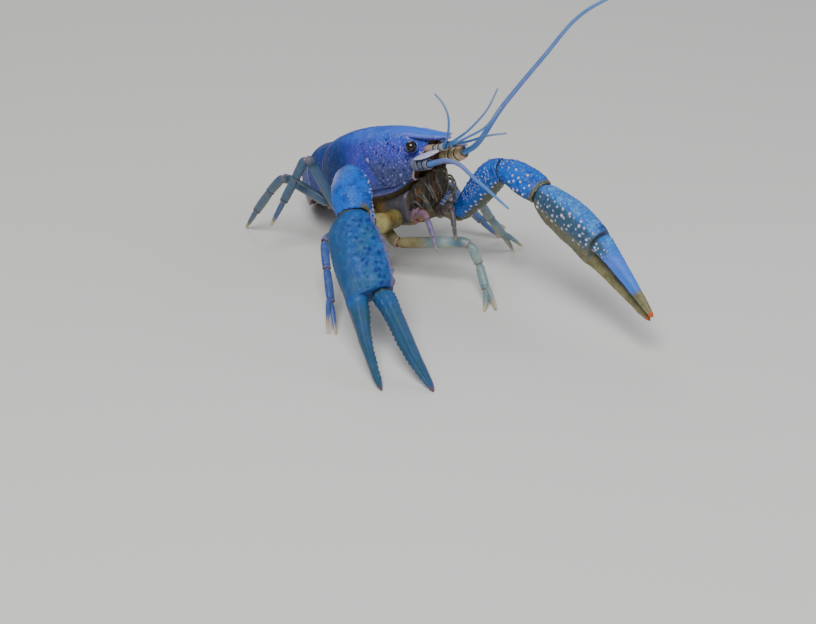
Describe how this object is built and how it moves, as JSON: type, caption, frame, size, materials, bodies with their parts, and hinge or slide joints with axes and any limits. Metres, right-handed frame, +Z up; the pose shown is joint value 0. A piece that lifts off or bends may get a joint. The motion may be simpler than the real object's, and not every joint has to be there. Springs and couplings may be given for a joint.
{
  "type": "crayfish figure",
  "caption": "Life-size still blue crayfish standing with its claws spread forward, feelers raised and tail fan on the floor.",
  "frame": {"origin": "bottom centre of the bounding box, on the floor that the feet rest on", "axes": "+Z up, the head faces -Y, the animal's left side is +X, and the longest extent runs along Y"},
  "size_m": [0.079, 0.1424, 0.0842],
  "materials": {
    "claw_shell": "hard shell with pale tubercles, blue",
    "eye": "black, wet",
    "eye_stalk": "thin shell",
    "feeler": "ringed blue whip",
    "feeler_base": "cream shell",
    "feeler_scale": "pale pink shell",
    "leg_shell": "thin shell, pale blue to cream",
    "mouth_foot": "pale violet shell",
    "shell": "hard wet shell, bright blue",
    "tail_shell": "hard wet shell, dark blue",
    "underside": "cream and olive soft shell"
  },
  "bodies": {
    "root": {"abdomen_1": "tail_shell", "abdomen_2": "tail_shell", "abdomen_3": "tail_shell", "abdomen_4": "tail_shell", "abdomen_5": "tail_shell", "abdomen_6": "tail_shell", "antenna_L": "feeler", "antenna_R": "feeler", "antenna_base_L": "feeler_base", "antenna_base_R": "feeler_base", "antenna_scale_L": "feeler_scale", "antenna_scale_R": "feeler_scale", "antennule_L": "feeler_base", "antennule_R": "feeler_base", "antennule_inner_L": "feeler", "antennule_inner_R": "feeler", "antennule_outer_L": "feeler", "antennule_outer_R": "feeler", "carapace": "shell", "carpus_L": "claw_shell", "carpus_R": "claw_shell", "dactyl_L": "claw_shell", "dactyl_R": "claw_shell", "eye_L": "eye", "eye_R": "eye", "eyestalk_L": "eye_stalk", "eyestalk_R": "eye_stalk", "ischium_L": "underside", "ischium_R": "underside", "leg_2_L_lower": "leg_shell", "leg_2_L_upper": "leg_shell", "leg_2_R_lower": "leg_shell", "leg_2_R_upper": "leg_shell", "leg_3_L_lower": "leg_shell", "leg_3_L_upper": "leg_shell", "leg_3_R_lower": "leg_shell", "leg_3_R_upper": "leg_shell", "leg_4_L_lower": "leg_shell", "leg_4_L_upper": "leg_shell", "leg_4_R_lower": "leg_shell", "leg_4_R_upper": "leg_shell", "leg_5_L_lower": "leg_shell", "leg_5_L_upper": "leg_shell", "leg_5_R_lower": "leg_shell", "leg_5_R_upper": "leg_shell", "maxilliped_L": "mouth_foot", "maxilliped_R": "mouth_foot", "merus_L": "claw_shell", "merus_R": "claw_shell", "mouth": "underside", "propodus_L": "claw_shell", "propodus_R": "claw_shell", "sternum": "underside", "telson": "tail_shell", "uropod_inner_L": "tail_shell", "uropod_inner_R": "tail_shell", "uropod_outer_L": "tail_shell", "uropod_outer_R": "tail_shell"}
  },
  "joints": []
}
